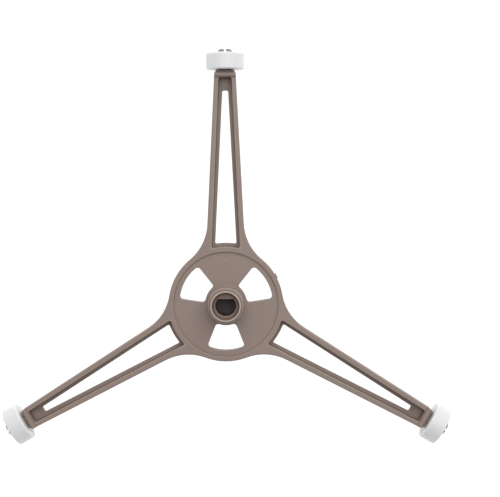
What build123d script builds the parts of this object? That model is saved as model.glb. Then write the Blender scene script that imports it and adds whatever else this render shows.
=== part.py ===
"""Turntable roller carrier of a microwave oven.

A moulded plastic carrier has a round hub and three tapered arms, 120 degrees apart.
Each arm is a rib frame round a long slot, and ends in a crossbar with a split snap pin.
A plain round roller turns on each pin, held by the barbs at the pin's end.
The hub has a socket with one flat, which takes the oven's drive shaft.

The origin is where the hub's axis crosses the plane of the three roller axles.
+Z points out of the socket's mouth and +Y runs along the first arm. Sizes are in mm.
"""

from build123d import *
from math import atan, cos, hypot
import os

# Rollers
roller_radius = 7.7
roller_width = 6.6
roller_edge_chamfer = 0.45
roller_bore_chamfer = 0.3
track_radius = 97.8  # hub axis to the middle of a roller
end_float = 0.3  # gap each side of a roller along its pin

# Split snap pins
pin_radius = 2.4
pin_clearance = 0.08
barb_overhang = 0.55  # how far a barb reaches past the roller's bore, all round
barb_land = 0.4  # length of the barb at its full radius
barb_length = 1.2
barb_tip_step = 0.1  # how far the barb's tip lies inside the pin's radius
slit_width = 0.9
slit_root = 0.6  # solid length of pin left between the thrust pad and the slit

# Arms
arm_count = 3
first_arm_angle = 90
arm_root_half_width = 8.97  # of the arm's straight sides, carried back to the hub axis
arm_tip_half_width = 4.32  # at the outer face of the crossbar
arm_hub_blend = 20.0
rib_height = 6.8
rib_width_at_hub = 2.1
rib_width_at_tip = 1.8
web_thickness = 2.2
crossbar_thickness = 1.6
crossbar_rise = 1.0  # above the ribs
crossbar_corner = 0.5
crossbar_setback = 0.3  # from the end of the recess
tip_web_length = 5.1
ledge_width_at_hub = 1.35
ledge_width_at_tip = 1.7
recess_corner = 0.8
slot_corner = 0.6

# Thrust pads, low steps at the arms' ends that the rollers run against
pad_length = 1.0
pad_width = 8.0
pad_height = 5.2
pad_corner = 0.9

# Hub
hub_radius = 23.15
hub_rim_width = 1.95
hub_lip_width = 2.0  # between the hub's step and the arm recess
hub_ledge_width = 1.45
disc_step = 0.8
disc_skin = 2.0
window_inner_radius = 8.5
window_outer_radius = 18.95
window_half_width_at_axis = 0.84
window_side_slope = 0.395
window_corner = 1.4
window_wall = 1.6
pocket_corner = 0.8

# Boss and drive socket
boss_radius = 6.1
boss_height = 12.2  # above the hub's disc
shoulder_radius = 7.2
shoulder_height = 7.2
boss_wall_below = 2.5
socket_radius = 4.1
socket_flat = 2.75  # axis to the flat
socket_floor = 2.0
mouth_radius = 5.5
mouth_depth = 4.0
socket_lip_radius = 4.85  # a groove lies between this lip and the mouth's wall
groove_depth = 0.7
socket_edge_chamfer = 0.25

# Edges, draft and the stub of the moulding gate
outer_edge_round = 0.5
inner_edge_chamfer = 0.2
crossbar_chamfer = 0.25
back_edge_chamfer = 0.35
boss_rim_chamfer = 0.15
shoulder_edge_round = 0.5
boss_foot_chamfer = 0.6
draft_angle = 1.0
gate_angle = 29
gate_width = 2.0
gate_depth = 0.4
gate_height = 2.4

# Places that follow from the sizes above
rib_top = rib_height / 2
rib_back = -rib_height / 2
web_top = rib_back + web_thickness
disc_top = rib_top - disc_step
disc_under = disc_top - disc_skin
boss_top = disc_top + boss_height
shoulder_top = disc_top + shoulder_height
socket_end = rib_back + socket_floor
step_radius = hub_radius - hub_rim_width
recess_start = step_radius + hub_lip_width
slot_start = recess_start + hub_ledge_width
roller_inner_face = track_radius - roller_width / 2
roller_outer_face = track_radius + roller_width / 2
pad_end = roller_inner_face - end_float
arm_end = pad_end - pad_length
crossbar_start = arm_end - crossbar_thickness
recess_end = crossbar_start - crossbar_setback
slot_end = recess_end - tip_web_length
arm_side_slope = (arm_root_half_width - arm_tip_half_width) / arm_end
barb_start = roller_outer_face + end_float
pin_end = barb_start + barb_length
roller_bore_radius = pin_radius + pin_clearance
barb_radius = roller_bore_radius + barb_overhang
overlap = 0.5  # how far added pieces of one moulding run into each other
same_place = 0.001  # two places nearer than this are one


def arm_half_width(radius):
    """Half the width across an arm's straight sides, at this distance from the hub axis."""
    return arm_root_half_width - arm_side_slope * radius


def tapered_strip(half_width_start, slope, end):
    """Corners of a strip along X from the hub axis, narrowing by the slope."""
    half_width_end = half_width_start - slope * end
    return [
        (0, half_width_start),
        (end, half_width_end),
        (end, -half_width_end),
        (0, -half_width_start),
    ]


def strip_inside_arm(start, margin_at_start, end, margin_at_end):
    """Corners of a strip along the arm, with these margins to the arm's sides at two radii."""
    half_width_start = arm_half_width(start) - margin_at_start
    half_width_end = arm_half_width(end) - margin_at_end
    slope = (half_width_start - half_width_end) / (end - start)
    return tapered_strip(half_width_start + slope * start, slope, end)


def window_outline(extra):
    """Corners of a window's two straight sides along X, moved outwards by the extra width."""
    side_angle = atan(window_side_slope)
    half_width_start = window_half_width_at_axis + extra / cos(side_angle)
    return tapered_strip(half_width_start, -window_side_slope, hub_radius)


def arm_locations():
    """One place for each arm, with its X axis along the arm."""
    return PolarLocations(0, arm_count, start_angle=first_arm_angle)


def window_locations():
    """One place for each window, halfway between two arms."""
    return PolarLocations(0, arm_count, start_angle=first_arm_angle + 180 / arm_count)


def vertices_at_radius(sketch, radius):
    """The sketch's corners that lie at this distance from the hub axis."""
    return [v for v in sketch.vertices() if abs(hypot(v.X, v.Y) - radius) < same_place]


def circle_edges(part, radius, height):
    """The part's circles of this radius round the hub axis, at this height."""
    circles = part.edges().filter_by(GeomType.CIRCLE)
    level = [e for e in circles if abs(e.arc_center.Z - height) < same_place]
    return [e for e in level if abs(e.radius - radius) < same_place]


# One snap pin along X: its thrust pad, shank and barb, slit in two prongs
with BuildPart() as snap_pin:
    with BuildSketch(Plane.XY.offset(-pad_height / 2)) as pad:
        with Locations((arm_end - overlap, 0)):
            Rectangle(overlap + pad_length, pad_width, align=(Align.MIN, Align.CENTER))
        fillet(pad.vertices().group_by(Axis.X)[-1], pad_corner)
    extrude(amount=pad_height)
    with BuildSketch(Plane.XZ):
        with BuildLine():
            Polyline(
                (pad_end - overlap, 0),
                (pad_end - overlap, pin_radius),
                (barb_start, pin_radius),
                (barb_start, barb_radius),
                (barb_start + barb_land, barb_radius),
                (pin_end, pin_radius - barb_tip_step),
                (pin_end, 0),
                close=True,
            )
        make_face()
    revolve(axis=Axis.X)
    slit_start = pad_end + slit_root
    with BuildSketch(Plane.YZ.offset(slit_start)):
        Rectangle(slit_width, 2 * barb_radius + 1)
    extrude(amount=pin_end - slit_start, mode=Mode.SUBTRACT)

# The carrier: hub, arms, boss and pins, moulded in one piece
with BuildPart() as carrier:
    with BuildSketch(Plane.XY.offset(rib_back)) as outline:
        Circle(hub_radius)
        with arm_locations():
            Polygon(*tapered_strip(arm_root_half_width, arm_side_slope, arm_end), align=None)
        fillet(vertices_at_radius(outline, hub_radius), arm_hub_blend)
        fillet(vertices_at_radius(outline, hypot(arm_end, arm_tip_half_width)), crossbar_corner)
    extrude(amount=rib_height)

    # Recess inside each arm's rib, down to the web, and the broken edge round its top
    with BuildSketch(Plane.XY.offset(rib_top)) as recess:
        with arm_locations():
            Polygon(
                *strip_inside_arm(recess_start, rib_width_at_hub, recess_end, rib_width_at_tip),
                align=None,
            )
        Circle(recess_start, mode=Mode.SUBTRACT)
        fillet(recess.vertices(), recess_corner)
    extrude(amount=web_top - rib_top, taper=draft_angle, mode=Mode.SUBTRACT)
    with BuildSketch(Plane.XY.offset(rib_top)):
        offset(recess.sketch_local, amount=inner_edge_chamfer)
    chamfer_cut_depth = 2 * inner_edge_chamfer  # the lower half lies in the open recess
    extrude(amount=-chamfer_cut_depth, taper=45, mode=Mode.SUBTRACT)

    # Slot through the web, which leaves a ledge along each rib
    margin_at_hub = rib_width_at_hub + ledge_width_at_hub
    margin_at_tip = rib_width_at_tip + ledge_width_at_tip
    with BuildSketch(Plane.XY.offset(rib_back)) as slot:
        with arm_locations():
            Polygon(
                *strip_inside_arm(slot_start, margin_at_hub, slot_end, margin_at_tip),
                align=None,
            )
        Circle(slot_start, mode=Mode.SUBTRACT)
        fillet(slot.vertices(), slot_corner)
    extrude(amount=web_thickness, mode=Mode.SUBTRACT)

    # Step down to the hub's disc
    with BuildSketch(Plane.XY.offset(disc_top)):
        Circle(step_radius)
    extrude(amount=disc_step, mode=Mode.SUBTRACT)

    top_face = carrier.faces().filter_by(Axis.Z).sort_by(Axis.Z)[-1]
    fillet(top_face.outer_wire().edges(), outer_edge_round)
    chamfer(circle_edges(carrier, step_radius, rib_top), inner_edge_chamfer)
    back_face = carrier.faces().filter_by(Axis.Z).sort_by(Axis.Z)[0]
    chamfer(back_face.outer_wire().edges(), back_edge_chamfer)

    # Crossbar at the end of each arm, from under the ribs' round edge to above the ribs
    with BuildSketch(Plane.XY.offset(rib_top - outer_edge_round)) as crossbars:
        with arm_locations():
            Polygon(*tapered_strip(arm_root_half_width, arm_side_slope, arm_end), align=None)
        fillet(vertices_at_radius(crossbars, hypot(arm_end, arm_tip_half_width)), crossbar_corner)
        with arm_locations():
            Rectangle(
                crossbar_start,
                2 * arm_root_half_width,
                align=(Align.MIN, Align.CENTER),
                mode=Mode.SUBTRACT,
            )
    extrude(amount=outer_edge_round + crossbar_rise)
    crossbar_tops = carrier.faces().filter_by(Axis.Z).group_by(Axis.Z)[-1]
    chamfer(crossbar_tops.edges(), crossbar_chamfer)

    # Pockets under the disc, which leave a wall round each window and the boss
    with BuildSketch(Plane.XY.offset(disc_under)) as pockets:
        Circle(step_radius)
        Circle(socket_radius + boss_wall_below, mode=Mode.SUBTRACT)
        with window_locations():
            Polygon(*window_outline(window_wall), align=None, mode=Mode.SUBTRACT)
        fillet(pockets.vertices(), pocket_corner)
    extrude(amount=rib_back - disc_under, taper=-draft_angle, mode=Mode.SUBTRACT)

    # Windows through the disc, between the arms
    with BuildSketch(Plane.XY.offset(rib_back)) as windows:
        with window_locations():
            Polygon(*window_outline(0), align=None)
        Circle(window_outer_radius, mode=Mode.INTERSECT)
        Circle(window_inner_radius, mode=Mode.SUBTRACT)
        fillet(windows.vertices(), window_corner)
    extrude(amount=rib_height, mode=Mode.SUBTRACT)

    # Boss with its shoulder, from the disc up
    with BuildSketch(Plane.XZ):
        with BuildLine():
            Polyline(
                (0, disc_under),
                (shoulder_radius, disc_under),
                (shoulder_radius, shoulder_top),
                (boss_radius, shoulder_top),
                (boss_radius, boss_top),
                (0, boss_top),
                close=True,
            )
        make_face()
    revolve(axis=Axis.Z)

    # Round mouth with a groove round its floor, then the socket with its flat towards +Y
    with BuildSketch(Plane.XY.offset(boss_top)):
        Circle(mouth_radius)
    extrude(amount=-mouth_depth, mode=Mode.SUBTRACT)
    with BuildSketch(Plane.XY.offset(boss_top - mouth_depth)):
        Circle(mouth_radius)
        Circle(socket_lip_radius, mode=Mode.SUBTRACT)
    extrude(amount=-groove_depth, mode=Mode.SUBTRACT)
    with BuildSketch(Plane.XY.offset(boss_top - mouth_depth)):
        Circle(socket_radius)
        with Locations((0, socket_flat)):
            Rectangle(
                2 * socket_radius,
                socket_radius,
                align=(Align.CENTER, Align.MIN),
                mode=Mode.SUBTRACT,
            )
    extrude(amount=-(boss_top - mouth_depth - socket_end), mode=Mode.SUBTRACT)
    chamfer(circle_edges(carrier, socket_radius, boss_top - mouth_depth), socket_edge_chamfer)

    chamfer(circle_edges(carrier, boss_radius, boss_top), boss_rim_chamfer)
    chamfer(circle_edges(carrier, mouth_radius, boss_top), boss_rim_chamfer)
    fillet(circle_edges(carrier, shoulder_radius, shoulder_top), shoulder_edge_round)
    chamfer(circle_edges(carrier, shoulder_radius, disc_top), boss_foot_chamfer)

    # Stub of the gate through which the plastic came in
    with BuildSketch(Plane.XY.offset(-gate_height / 2)):
        with PolarLocations(hub_radius - overlap, 1, start_angle=gate_angle):
            Rectangle(overlap + gate_depth, gate_width, align=(Align.MIN, Align.CENTER))
    extrude(amount=gate_height)

    with arm_locations():
        add(snap_pin.part)

carrier.part.label = "carrier"

# Rollers, one on each pin, anticlockwise from the first arm
rollers = []
for number in range(arm_count):
    arm_angle = first_arm_angle + number * 360 / arm_count
    along_arm = Vector(1, 0, 0).rotate(Axis.Z, arm_angle)
    across_arm = along_arm.cross(Vector(0, 0, 1))
    with BuildPart() as roller:
        with BuildSketch(Plane((0, 0, 0), x_dir=along_arm, z_dir=across_arm)) as section:
            with Locations((track_radius, roller_bore_radius)):
                Rectangle(
                    roller_width,
                    roller_radius - roller_bore_radius,
                    align=(Align.CENTER, Align.MIN),
                )
            chamfer(section.vertices().group_by(Axis.Y)[-1], roller_edge_chamfer)
            chamfer(section.vertices().group_by(Axis.Y)[0], roller_bore_chamfer)
        revolve(axis=Axis((0, 0, 0), along_arm))
    roller.part.label = f"roller_{number + 1}"
    rollers.append(roller)

os.makedirs("parts", exist_ok=True)
export_step(carrier.part, "parts/carrier.step")
for number, roller in enumerate(rollers, 1):
    export_step(roller.part, f"parts/roller_{number}.step")
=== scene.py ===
# %% [markdown]
# # A microwave's roller ring
#
# The object is a Y-shaped carrier of taupe brown plastic with a white roller on the end of each
# arm. Its solids come from CAD with the right shapes and sizes, so this lesson gives them what
# CAD can't: the plastics they are moulded from, and the light of a catalogue photograph.
#
# The first cell brings the solids in. They arrive selected, and an operator acts on all that is
# selected, so they are deselected before anything is added.

# %% Bring in the solids
import math

import bpy
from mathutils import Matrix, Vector


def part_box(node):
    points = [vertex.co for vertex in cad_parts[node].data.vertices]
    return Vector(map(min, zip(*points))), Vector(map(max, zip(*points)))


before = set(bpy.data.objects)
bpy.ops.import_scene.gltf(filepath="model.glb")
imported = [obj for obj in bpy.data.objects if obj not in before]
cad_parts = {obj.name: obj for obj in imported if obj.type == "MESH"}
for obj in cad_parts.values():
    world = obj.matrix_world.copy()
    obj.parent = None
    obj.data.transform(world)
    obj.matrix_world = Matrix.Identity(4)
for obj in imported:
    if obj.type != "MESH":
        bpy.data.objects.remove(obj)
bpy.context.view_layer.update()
bpy.ops.object.select_all(action="DESELECT")
print("solids:", sorted(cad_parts))

# %% [markdown]
# ## Sizes of the real thing
#
# Blender works in metres and the part's drawing in millimetres, so one value turns one into the
# other. The looks depend on some sizes of the drawing, such as how tall the boss is, and each is
# given where it is first needed. The carrier's radii are from the hub's axis, and heights are
# from the plane of the three axles.

# %% Millimetres
mm = 0.001

# %% [markdown]
# ## The camera
#
# The photograph looks almost straight down on the ring from 59 cm, with a long lens, from a
# point a little above the hub and to its right. A camera can be moved by eye until the two
# pictures agree, but then the arms stay a few pixels out. So its place and tilt were worked out
# from the ends of the three arms and the round edges of the hub. The small sideways shift only
# frames the ring left of the middle, as the photograph does.

# %% Camera
camera_place = (7.8 * mm, 48.3 * mm, 592.5 * mm)
camera_tilt = [math.radians(angle) for angle in (-2.505, 0.774, -0.257)]
frame_width_in_pixels = 500
focal_length_in_pixels = 1465.7
sensor_width_in_mm = 36
sideways_shift = 0.05

bpy.ops.object.camera_add(location=camera_place, rotation=camera_tilt)
camera = bpy.context.object
camera.name = "camera"
camera.data.sensor_width = sensor_width_in_mm
camera.data.lens = focal_length_in_pixels * sensor_width_in_mm / frame_width_in_pixels
camera.data.shift_x = sideways_shift
bpy.context.scene.camera = camera
print("lens:", round(camera.data.lens, 1), "mm")

# %% [markdown]
# ## Writing shaders as sums
#
# A procedural material is a net of nodes. They can be placed and linked one by one, but it is
# easier to read them as ordinary sums. So a small class stands for one number that varies over
# the surface, and its plus, minus and times add the Math nodes.

# %% One reading over a surface
class Reading:
    """An output socket of a shader node, used in sums as a number is."""

    def __init__(self, finish, socket):
        self.finish = finish
        self.socket = socket

    def output(self, name):
        """Another output of the same node."""
        return Reading(self.finish, self.socket.node.outputs[name])

    def __add__(self, other):
        return self.finish.maths("ADD", self, other)

    def __radd__(self, other):
        return self.finish.maths("ADD", other, self)

    def __sub__(self, other):
        return self.finish.maths("SUBTRACT", self, other)

    def __rsub__(self, other):
        return self.finish.maths("SUBTRACT", other, self)

    def __mul__(self, other):
        return self.finish.maths("MULTIPLY", self, other)

    def __rmul__(self, other):
        return self.finish.maths("MULTIPLY", other, self)

    def __abs__(self):
        return self.finish.maths("ABSOLUTE", self)


print("a reading adds its own Math nodes")

# %% [markdown]
# A second class holds a material. One method of it adds any kind of node, because all kinds are
# added alike: the settings come first, since they can change which sockets there are, and then
# the values or links of the sockets.

# %% A material built node by node
class Finish:
    """A material with one Principled shader."""

    def __init__(self, name):
        self.material = bpy.data.materials.new(name)
        self.material.use_nodes = True
        self.tree = self.material.node_tree
        self.shader = self.tree.nodes["Principled BSDF"]

    def node(self, kind, settings, inputs, output=0):
        """Adds a node with these settings, feeds its sockets and returns one output."""
        node = self.tree.nodes.new(kind)
        for name, value in settings.items():
            setattr(node, name, value)
        for name, value in inputs.items():
            self.feed(node.inputs[name], value)
        return Reading(self, node.outputs[output])

    def feed(self, socket, value):
        """Links a reading to a socket, or sets the socket's own value."""
        if isinstance(value, Reading):
            self.tree.links.new(value.socket, socket)
        else:
            socket.default_value = value

    def maths(self, operation, *values):
        """A Math node on numbers or readings."""
        return self.node("ShaderNodeMath", {"operation": operation}, dict(enumerate(values)))

    def set_shader(self, **values):
        """Feeds the Principled shader, with underscores for the spaces in socket names."""
        for name, value in values.items():
            self.feed(self.shader.inputs[name.replace("_", " ")], value)


carrier_plastic = Finish("carrier_plastic")
print("a new material has", len(carrier_plastic.tree.nodes), "nodes")

# %% [markdown]
# ## Masks
#
# A mask is 1 where a finish lies and 0 where it doesn't. Masks could be painted by hand, but
# here the sizes are known, so each is worked out from a distance: under a limit, or near a
# line. Its edge is soft, because a hard one shows as steps in the render. Where several masks
# are one finish, the strongest counts.

# %% Masks from distances
soft_edge = 0.1 * mm


def inside(distance, limit, blur=soft_edge):
    """1 where the distance is under the limit, fading to 0 over the blur."""
    return distance.finish.node(
        "ShaderNodeMapRange",
        {"interpolation_type": "SMOOTHSTEP"},
        {"Value": distance, "From Min": limit + blur, "From Max": limit - blur},
    )


def near(distance, middle, reach, blur=soft_edge):
    """1 where the distance is within this reach of the middle, fading to 0 over the blur."""
    return inside(abs(distance - middle), reach, blur)


def strongest(mask, *others):
    """The highest of several masks at each point."""
    for other in others:
        mask = mask.finish.maths("MAXIMUM", mask, other)
    return mask


print("masks fade over", round(soft_edge / mm, 2), "mm to each side of their edge")

# %% [markdown]
# Noise breaks up what would be too even, and a blend lays one colour over another by a mask. The
# blend is a Mix node, because a Math node would turn the colours grey. A Mix node has sockets of
# the same names for numbers, vectors and colours, so those for colours are picked by their
# place in the list.

# %% Noise and colour blends
noise_roughness = 0.55
factor_socket = 0
first_colour_socket = 6
second_colour_socket = 7
colour_output = 2


def noise(finish, place, size, detail=2.0):
    """Soft noise from 0 to 1 whose lumps are about this size, in metres."""
    inputs = {"Vector": place, "Scale": 1 / size, "Detail": detail, "Roughness": noise_roughness}
    return finish.node("ShaderNodeTexNoise", {}, inputs)


def blend_colours(finish, mask, first, second):
    """The first colour where the mask is 0, the second where it is 1."""
    inputs = {factor_socket: mask, first_colour_socket: first, second_colour_socket: second}
    return finish.node("ShaderNodeMix", {"data_type": "RGBA"}, inputs, colour_output)


print("noise has a roughness of", noise_roughness)

# %% [markdown]
# ## One set of directions for three arms
#
# Mould marks sit at the same place on every arm. They could be placed three times in x and y,
# but it is simpler to work "along the arm" and "across the arm": the turn round the hub is
# wrapped to one third of a circle, and then made two distances again. The same readings tell a
# roller's axial and radial directions.

# %% Along and across each arm
arm_count = 3
arm_spacing = math.radians(360 / arm_count)


def own_coordinates(finish):
    """The object's own coordinates, whole and as x, y and the height."""
    place = finish.node("ShaderNodeTexCoord", {}, {}, "Object")
    x = finish.node("ShaderNodeSeparateXYZ", {}, {"Vector": place}, "X")
    return place, x, x.output("Y"), x.output("Z")


def round_hub(x, y):
    """The radius, and the turn in radians, clockwise from the first arm."""
    radius = x.finish.maths("SQRT", x * x + y * y)
    turn = x.finish.maths("ARCTAN2", x, y)
    return radius, turn


def along_arm(radius, turn):
    """The distances along the nearest arm and across it."""
    arm_turn = turn.finish.maths("WRAP", turn, arm_spacing / 2, -arm_spacing / 2)
    along = radius * turn.finish.maths("COSINE", arm_turn)
    across = radius * turn.finish.maths("SINE", arm_turn)
    return along, across


print("one arm's share of the circle:", round(math.degrees(arm_spacing)), "degrees")

# %% [markdown]
# ## The carrier's plastic
#
# The carrier is moulded in a heat-proof plastic: taupe brown, satin, with the fine grain of a
# spark-eroded mould. Its colour is never quite even. Broad clouds are a little warmer or greyer,
# and faint streaks show where the melt flowed along the arms. A flat colour would look painted,
# so each of these is a noise of its own size, mixed in weakly. In the streaks' noise the
# distance along the arm counts for about an eighth, which draws the lumps out.

# %% Carrier plastic: colour
place, x, y, up = own_coordinates(carrier_plastic)
radius, turn = round_hub(x, y)
along, across = along_arm(radius, turn)

taupe = (0.261, 0.197, 0.168, 1)
warm_taupe = (0.278, 0.201, 0.173, 1)
grey_taupe = (0.244, 0.193, 0.165, 1)
cloud_size = 9 * mm
cloud_strength = 0.5
streak_width = 1.1 * mm
streak_shortening = 0.12
streak_strength = 0.35

clouds = noise(carrier_plastic, place, cloud_size, detail=3.0)
streak_axes = {"X": along * streak_shortening, "Y": across, "Z": up}
streak_place = carrier_plastic.node("ShaderNodeCombineXYZ", {}, streak_axes)
streaks = noise(carrier_plastic, streak_place, streak_width) * streak_strength
cloud_colour = blend_colours(carrier_plastic, clouds, warm_taupe, grey_taupe)
plain_colour = blend_colours(carrier_plastic, cloud_strength, taupe, cloud_colour)
streaked_colour = blend_colours(carrier_plastic, streaks, plain_colour, grey_taupe)
print("clouds:", round(cloud_size / mm, 1), "mm, streaks:", round(streak_width / mm, 1), "mm")

# %% [markdown]
# The boss's rim is the carrier's highest edge, so it is what rubs: on the oven's shaft, on the
# bench, in the packet. There the grain is polished off and the plastic is smoother. Its pale
# colour there, in patches, is a painted highlight on the rim, and the rounding of the shoulder
# below it gets a fainter painted highlight. Blender can find convex edges by itself, with the
# Geometry node's Pointiness, but only as finely as the mesh is divided, so these places are given
# by their radius and height instead.

# %% Carrier plastic: rim wear and painted highlights on rim and shoulder
pale_taupe = (0.470, 0.385, 0.330, 1)
mouth_radius = 5.5 * mm
boss_radius = 6.1 * mm
boss_top = 14.8 * mm
shoulder_radius = 7.2 * mm
shoulder_top = 9.8 * mm
patch_size = 1.5 * mm
patch_strength = 0.35
least_patch = 0.6
rim_blur = 0.12 * mm
shoulder_highlight_strength = 0.35

rim_middle = (mouth_radius + boss_radius) / 2
near_rim = near(radius, rim_middle, 0.5 * mm, rim_blur)
near_top = inside(boss_top - up, 0.3 * mm, rim_blur)
wear_and_highlight_patches = noise(carrier_plastic, place, patch_size) * patch_strength + least_patch
# painted highlight: a pale colour on the rim; the rim's real wear shows in its gloss and grain
rim_highlight_and_wear = near_rim * near_top * wear_and_highlight_patches
near_shoulder = near(radius, shoulder_radius - 0.15 * mm, 0.2 * mm, 0.15 * mm)
at_rounding = near(up, shoulder_top - 0.2 * mm, 0.3 * mm)
# painted highlight on the rounding of the shoulder
painted_shoulder_highlight = near_shoulder * at_rounding * shoulder_highlight_strength
print("the worn rim's middle:", round(rim_middle / mm, 2), "mm from the axis")

# %% [markdown]
# A small stub stands on the hub's edge where the moulding gate was broken away. Its shape is in
# the solid, and its torn face is as pale as the painted highlights. It could be a piece of
# its own with its own material, but on the real part it is one with the hub, so a mask finds it.
# The drawing gives its angle from the x axis, and here turns count clockwise from the first arm.

# %% Carrier plastic: the gate's torn face
hub_radius = 23.15 * mm
first_arm_angle = 90
gate_angle = 29
gate_turn = math.radians(first_arm_angle - gate_angle)
gate_half_turn = 0.03
gate_blur = 0.004
stub_start = hub_radius + 0.3 * mm
stub_end = hub_radius + 1.5 * mm
torn_strength = 0.45

near_gate = near(turn, gate_turn, gate_half_turn, gate_blur)
on_stub = inside(stub_start - radius, 0) * inside(radius, stub_end, 0.3 * mm)
torn_gate = near_gate * on_stub * torn_strength
print("the gate's turn from the first arm:", round(math.degrees(gate_turn)), "degrees")

# %% [markdown]
# Each arm is a frame of ribs round a recess, and the recess narrows towards the tip. Its half
# width at any place is that at the hub's axis less a slope times the distance along the arm.
# From it come two masks, one for the recess's length and one for the gap between the ribs. They
# keep the marks of the ribs' edges and corners from running on past the ribs.

# %% Carrier plastic: where the recess lies
recess_start = 23.2 * mm
recess_end = 91.3 * mm
recess_root_half_width = 6.77 * mm
recess_side_slope = 0.0455

recess_half_width = recess_root_half_width - along * recess_side_slope
in_recess = inside(recess_start - radius, 0) * inside(along, recess_end)
between_ribs = inside(abs(across) - recess_half_width, 0)
recess_end_half_width = recess_root_half_width - recess_end * recess_side_slope
print("the recess's width at its end:", round(2 * recess_end_half_width / mm, 2), "mm")

# %% [markdown]
# Light catches the crisp top edges of the ribs and of the step round the hub as fine pale lines.
# Their chamfers are only 0.2 mm wide, less than a pixel, so a painted highlight in the colour
# stands in for them. Each mask lies on the middle of one chamfer: along the ribs, across the
# arm's root, and round the step.

# %% Carrier plastic: painted highlights on edges of ribs and step
rib_top = 3.4 * mm
step_radius = 21.2 * mm
chamfer_middle = 0.1 * mm
edge_reach = 0.14 * mm
edge_highlight_strength = 0.6

rib_edge = near(abs(across), recess_half_width + chamfer_middle, edge_reach) * in_recess
root_edge = near(radius, recess_start - chamfer_middle, edge_reach) * between_ribs
step_edge = near(radius, step_radius + chamfer_middle, edge_reach)
on_rib_top = near(up, rib_top, 0.3 * mm, 0.05 * mm)
top_edges = strongest(rib_edge, root_edge, step_edge) * on_rib_top
# painted highlight: pale lines along the top edges
painted_edge_highlights = top_edges * wear_and_highlight_patches * edge_highlight_strength
print("the pale lines' width:", round(2 * edge_reach / mm, 2), "mm")

# %% [markdown]
# Inner corners get the opposite: painted shade. A thin dark line of painted shade runs where the
# step meets the disc, and where the ribs and the crossbar meet the web. An Ambient Occlusion
# node would find corners too, but it is slow and noisy, and these corners are known lines.

# %% Carrier plastic: painted shade in the corners
dark_brown = (0.090, 0.068, 0.057, 1)
disc_top = 2.6 * mm
web_top = -1.2 * mm
shade_line_reach = 0.16 * mm
shade_line_blur = 0.12 * mm
from_step = 0.1 * mm
from_wall = 0.2 * mm
step_shade_strength = 0.35
web_shade_strength = 0.5

on_disc = near(up, disc_top, 0.25 * mm)
on_web = near(up, web_top, 0.3 * mm)
step_line = near(radius, step_radius - from_step, shade_line_reach, shade_line_blur)
rib_line = near(abs(across), recess_half_width - from_wall, shade_line_reach, shade_line_blur)
root_line = near(radius, recess_start + from_wall, shade_line_reach, shade_line_blur)
tip_line = near(along, recess_end - from_wall, shade_line_reach, shade_line_blur)
web_lines = strongest(rib_line * in_recess, tip_line * between_ribs, root_line * between_ribs)
painted_step_shade = step_line * on_disc * step_shade_strength
painted_web_shade = web_lines * on_web * web_shade_strength
# painted shade: dark lines along the inner corners
painted_corner_shade = strongest(painted_step_shade, painted_web_shade)
print("the dirt lines' width:", round(2 * shade_line_reach / mm, 2), "mm")

# %% [markdown]
# Inside the boss's mouth a darker, warmer brown is painted as shade, from the groove round its
# floor to just under the rim. The faces there could be given a second material, but it would end
# in a hard line, so the brown is one more mask on the same material.

# %% Carrier plastic: inside the mouth
mouth_shade_brown = (0.250, 0.165, 0.128, 1)
socket_top = 10.8 * mm
groove_depth = 0.7 * mm
mouth_middle = (boss_top + socket_top) / 2 - groove_depth
mouth_reach = 2.1 * mm
mouth_shade_strength = 0.7

in_mouth = inside(radius, mouth_radius - soft_edge)
under_rim = near(up, mouth_middle, mouth_reach, 0.2 * mm)
# painted shade: a darker, warmer brown inside the mouth
painted_mouth_shade = in_mouth * under_rim * mouth_shade_strength
brown_end = mouth_middle + mouth_reach
print("the brown ends", round((boss_top - brown_end) / mm, 2), "mm under the rim")

# %% [markdown]
# Two places get painted shade, darker and greyer than the plastic: the inside of the drive
# shaft's socket is painted nearly black, and the barbs, where these stick out past the bores, are
# painted grey. Each is a colour laid on by a mask.

# %% Carrier plastic: painted shade in the socket and on the barbs
socket_shade_grey = (0.055, 0.056, 0.062, 1)
socket_shade_strength = 0.6
socket_radius = 4.1 * mm
socket_floor = -1.4 * mm
barb_shade = (0.210, 0.214, 0.220, 1)
barb_shade_strength = 0.75
roller_end = 101.1 * mm
barb_shade_start = roller_end + 0.2 * mm

in_socket = inside(radius, socket_radius + soft_edge)
below_mouth = inside(up, socket_top - 0.6 * mm, 0.4 * mm)
above_floor = inside(socket_floor - up, 0.5 * mm, 0.3 * mm)
# painted shade: the inside of the socket is darkened
painted_socket_shade = in_socket * below_mouth * above_floor * socket_shade_strength
# painted shade: the barbs past the bores are greyed
painted_barb_shade = inside(barb_shade_start - along, 0) * barb_shade_strength
print("powder starts", round(barb_shade_start / mm, 1), "mm from the hub's axis")

# %% [markdown]
# Two marks come from the mould. An ejector pin pushed on the web at the end of each arm and left
# a round mark 3.4 mm across, a little sunk and polished, with a darker rim. The mould's halves
# met in the plane of the pins, and left a hair-thin raised line round the outside. Both are far
# too fine for geometry, so masks find them, and their heights go into the bump further down.

# %% Carrier plastic: marks of the mould
ejector_along = 89.2 * mm
ejector_radius = 1.7 * mm
polish_strength = 0.14
ejector_rim_strength = 0.22
arm_root_half_width = 8.97 * mm
arm_side_slope = 0.0499
side_band = 1.0 * mm
hub_side_start = 20 * mm
line_reach = 0.04 * mm

past_ejector = along - ejector_along
from_ejector = carrier_plastic.maths("SQRT", past_ejector * past_ejector + across * across)
ejector_mark = inside(from_ejector, ejector_radius, 0.08 * mm) * on_web
ejector_rim = near(from_ejector, ejector_radius, 0.1 * mm) * on_web

from_arm_side = arm_root_half_width - along * arm_side_slope - abs(across)
on_sides = inside(from_arm_side, side_band) * inside(hub_side_start - radius, 0, 0.5 * mm)
parting_line = on_sides * inside(abs(up), line_reach, line_reach)
print("the ejector marks' width:", round(2 * ejector_radius / mm, 1), "mm")

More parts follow.
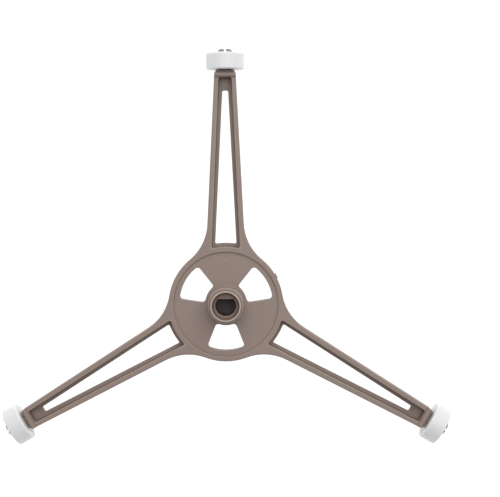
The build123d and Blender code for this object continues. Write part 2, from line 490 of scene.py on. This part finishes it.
# %% [markdown]
# A small pale nick shows on the hub's upper spoke. It could be cut into the solid, but it is
# only a twentieth of a millimetre deep, so it is colour and bump. It is on that spoke alone, so
# it is placed with the plain x and y.

# %% Carrier plastic: the nick
nick_place = 17.7 * mm
nick_half_length = 0.6 * mm
nick_half_width = 0.14 * mm
nick_strength = 0.5

nick_across = inside(abs(x), nick_half_length, 0.15 * mm)
nick_along = near(y, nick_place, nick_half_width)
nick = nick_across * nick_along * on_disc
print("the nick:", round(nick_place / mm, 1), "mm from the hub's axis")

# %% [markdown]
# The colours are now laid over one another: the plain plastic, then the painted shade in the
# mouth, the pale wear and painted highlights, the ejector marks' polish, the painted shade of the
# corners with the ejector marks' dark rims, and last the painted shade of the socket and barbs.
# One Mix node could hold only two of them, so each layer is a blend over the layers before it.

# %% Carrier plastic: all the colours
pale = strongest(rim_highlight_and_wear, painted_shoulder_highlight, painted_edge_highlights, torn_gate, nick * nick_strength)
# dark lines: painted shade in the corners, and the ejector marks' darker rims
dark_lines = strongest(painted_corner_shade, ejector_rim * ejector_rim_strength)
layers = (
    (painted_mouth_shade, mouth_shade_brown),
    (pale, pale_taupe),
    (ejector_mark * polish_strength, pale_taupe),
    (dark_lines, dark_brown),
    (painted_socket_shade, socket_shade_grey),
    (painted_barb_shade, barb_shade),
)

carrier_colour = streaked_colour
for mask, colour in layers:
    carrier_colour = blend_colours(carrier_plastic, mask, carrier_colour, colour)
print("layers of colour over the plain plastic:", len(layers))

# %% [markdown]
# The grain could be a displacement, but it is only a few thousandths of a millimetre high, so a
# bump is enough: a height that bends the light. It is two noises, one with lumps of a third of a
# millimetre and one finer. The marks of the mould are added to it, and the rim's wear takes it
# away and makes the plastic smoother. Heights are in millimetres, which Distance turns into
# metres.

# %% Carrier plastic: grain, gloss and shader
coarse_grain_size = 0.34 * mm
coarse_grain_height = 0.012
fine_grain_size = 0.12 * mm
fine_grain_height = 0.005
grain_lost_by_wear = 0.8
parting_line_height = 0.03
ejector_depth = 0.05
nick_depth = 0.05
satin = 0.46
satin_in_clouds = 0.08
gloss_by_wear = 0.14

coarse_grain = noise(carrier_plastic, place, coarse_grain_size) * coarse_grain_height
fine_grain = noise(carrier_plastic, place, fine_grain_size) * fine_grain_height
grain = (coarse_grain + fine_grain) * (1 - rim_highlight_and_wear * grain_lost_by_wear)
marks = parting_line * parting_line_height - ejector_mark * ejector_depth - nick * nick_depth
carrier_bump = {"Strength": 1.0, "Distance": mm, "Height": grain + marks}
carrier_plastic.set_shader(
    Base_Color=carrier_colour,
    Roughness=satin + clouds * satin_in_clouds - rim_highlight_and_wear * gloss_by_wear,
    Specular_IOR_Level=0.45,
    Normal=carrier_plastic.node("ShaderNodeBump", {}, carrier_bump),
)
print("carrier plastic has", len(carrier_plastic.tree.nodes), "nodes")

# %% [markdown]
# ## The rollers' plastic
#
# The rollers are white acetal, a slippery plastic that needs no grease. Each roller picks up
# hair-fine scuffs round its tread where it rolls on the oven's floor. A picture of scratches
# could be wrapped round it, but noise needs no picture. A scuff runs round the roller, so its
# noise is stretched along the turn: fine along the axis, long round it. The noise has one seam,
# where the turn jumps from half a circle to minus half, and at rest that faces the floor.

# %% Roller plastic: scuffs round the tread
roller_plastic = Finish("roller_plastic")
place, x, y, up = own_coordinates(roller_plastic)
along, across = along_arm(*round_hub(x, y))

roller_radius = 7.7 * mm
scuff_width = 0.16 * mm
scuff_run_per_radian = 0.4 * mm
scuff_shortening_inwards = 0.3
scuff_limit = 0.40
scuff_blur = 0.10

from_axle = roller_plastic.maths("SQRT", across * across + up * up)
round_axle = roller_plastic.maths("ARCTAN2", across, up) * scuff_run_per_radian
scuff_axes = {"X": along, "Y": round_axle, "Z": from_axle * scuff_shortening_inwards}
scuff_place = roller_plastic.node("ShaderNodeCombineXYZ", {}, scuff_axes)
scuff_noise = noise(roller_plastic, scuff_place, scuff_width, detail=3.0)
on_tread = inside(roller_radius - from_axle, 0.15 * mm)
scuffed = inside(1 - scuff_noise, scuff_limit, scuff_blur) * on_tread
print("the scuffs' width:", round(scuff_width / mm, 2), "mm")

# %% [markdown]
# The white is smooth from a polished mould and slightly waxy: light goes a little way in, so it
# has some subsurface scattering. The haze tints it and gives it the faint waviness of a moulded
# face, which keeps the highlights from looking drawn with a ruler. The scuffs are greyer and
# duller, and their noise makes the tread a little uneven.

# %% Roller plastic: whites, surface and shader
white = (0.740, 0.743, 0.746, 1)
cool_white = (0.710, 0.716, 0.723, 1)
scuff_grey = (0.600, 0.600, 0.595, 1)
scuff_strength = 0.25
haze_size = 5 * mm
haze_height = 0.02
tread_height = 0.008
gloss = 0.34
scuff_dullness = 0.2
waxy_depth = 1.5 * mm

haze = noise(roller_plastic, place, haze_size)
hazy_white = blend_colours(roller_plastic, haze, white, cool_white)
roller_colour = blend_colours(roller_plastic, scuffed * scuff_strength, hazy_white, scuff_grey)
roller_height = scuff_noise * on_tread * tread_height + haze * haze_height
roller_bump = {"Strength": 1.0, "Distance": mm, "Height": roller_height}
roller_plastic.set_shader(
    Base_Color=roller_colour,
    Roughness=gloss + scuffed * scuff_dullness,
    Specular_IOR_Level=0.5,
    Subsurface_Weight=0.5,
    Subsurface_Radius=(1, 1, 1),
    Subsurface_Scale=waxy_depth,
    Normal=roller_plastic.node("ShaderNodeBump", {}, roller_bump),
)
print("roller plastic has", len(roller_plastic.tree.nodes), "nodes")

# %% [markdown]
# ## Dressing the solids
#
# The solids keep their shapes and only change their plastic: the material goes into the slot
# that came with them. Each roller could have a material of its own, but all three are made of one
# plastic. Its haze still differs from one to the next, as it is read at each roller's own place.

# %% Dress the solids
def wear(piece, finish):
    """Puts the finish on a piece, in place of what it came with."""
    piece.data.materials.clear()
    piece.data.materials.append(finish.material)


wear(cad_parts["carrier"], carrier_plastic)
for number in range(1, arm_count + 1):
    wear(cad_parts[f"roller_{number}"], roller_plastic)
for name, piece in sorted(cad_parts.items()):
    print(name, "wears", piece.data.materials[0].name)

# %% [markdown]
# ## Floor and light
#
# The photograph is a catalogue picture: pure white all round, with hardly a shadow. A white floor
# under soft light is grey in a render, because it only gives back part of the light. A brighter
# light would whiten it, but would burn out the rollers as well. So the floor is darker than white
# and glows, as a light table does. That lifts it to white, and leaves only a soft shade where the
# rollers stand. It is so wide that its far edge is near the horizon in low views.

# %% Floor
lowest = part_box("roller_1")[0].z
floor_width = 40
floor_glow = 0.95

bpy.ops.mesh.primitive_plane_add(size=floor_width, location=(0, 0, lowest))
floor = bpy.context.object
floor.name = "floor"
floor_paint = Finish("floor_paint")
floor_paint.set_shader(
    Base_Color=(0.3, 0.3, 0.3, 1),
    Roughness=0.9,
    Emission_Color=(1, 1, 1, 1),
    Emission_Strength=floor_glow,
)
wear(floor, floor_paint)
print("the rollers stand on the plane z =", round(lowest / mm, 2), "mm")

# %% [markdown]
# The light comes mostly from the top of the picture: the step round the hub is dark there, where
# it turns away from the light, and bright at the bottom. A sun lamp would be simpler, but its
# shadows have hard edges. So one large panel stands on that side, a little to the right, and the
# pale room all round fills the shadows. The Standard view keeps the floor's white, which the
# film-like views would turn grey.

# %% Light
room_strength = 0.48
hub_middle = (0, 0, 0)


def panel(name, place, target, size, power):
    """A square soft light that faces the target."""
    bpy.ops.object.light_add(type="AREA", location=place)
    light = bpy.context.object
    light.name = name
    light.data.size = size
    light.data.energy = power
    light.rotation_euler = (Vector(target) - Vector(place)).to_track_quat("-Z", "Y").to_euler()


panel("key_panel", place=(0.15, 0.60, 0.85), target=hub_middle, size=1.3, power=10.6)
room = bpy.data.worlds.new("room")
room.use_nodes = True
room_light = room.node_tree.nodes["Background"].inputs
room_light["Color"].default_value = (1, 1, 1, 1)
room_light["Strength"].default_value = room_strength
bpy.context.scene.world = room
bpy.context.scene.view_settings.view_transform = "Standard"
